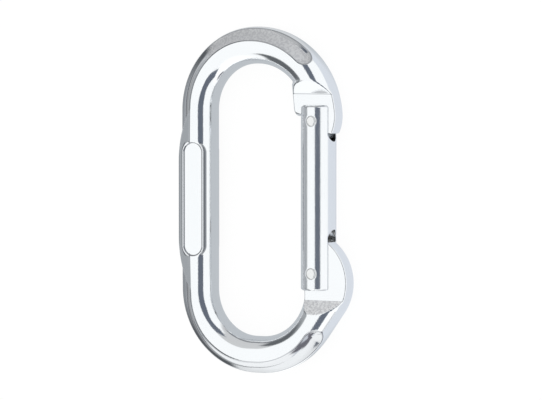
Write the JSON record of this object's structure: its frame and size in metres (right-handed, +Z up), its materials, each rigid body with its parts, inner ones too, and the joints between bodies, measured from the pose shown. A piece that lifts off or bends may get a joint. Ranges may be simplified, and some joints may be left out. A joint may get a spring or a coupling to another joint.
{
  "type": "oval carabiner",
  "caption": "Oval carabiner of forged round bar with a sprung solid gate, riveted pins, forged grooves and a sunken panel on the spine.",
  "frame": {"origin": "middle of the footprint, on the plane that the carabiner's back lies on", "axes": "+Y along the spine towards the nose, +X from the spine to the gate, +Z up out of the front face"},
  "size_m": [0.059, 0.108, 0.0115],
  "materials": {
    "body": "polished, with matt as-forged groove floors",
    "gate": "polished",
    "pins": "satin, riveted ends",
    "plunger": "turned",
    "spring": "drawn wire"
  },
  "bodies": {
    "frame": {"body": "body"},
    "gate": {"gate": "gate", "hinge_pin": "pins", "latch_pin": "pins", "gate_spring": "spring"},
    "plunger": {"plunger": "plunger"}
  },
  "joints": [
    {"name": "gate_hinge", "type": "hinge", "parent": "frame", "child": "gate", "pos_m": [0.01802, -0.0221, 0.00575], "axis": [0, 0, 1], "range_deg": [0, 25], "stiffness_Nm_per_rad": 0.41, "springref_deg": -37.82},
    {"name": "plunger_slide", "type": "slide", "parent": "gate", "child": "plunger", "axis": [0, 1, 0], "range_m": [0, 0.0014], "deforming": ["gate_spring"]}
  ],
  "couplings": [
    {"joint": "plunger_slide", "follows": "gate_hinge", "m_per_rad": 0.003129}
  ]
}
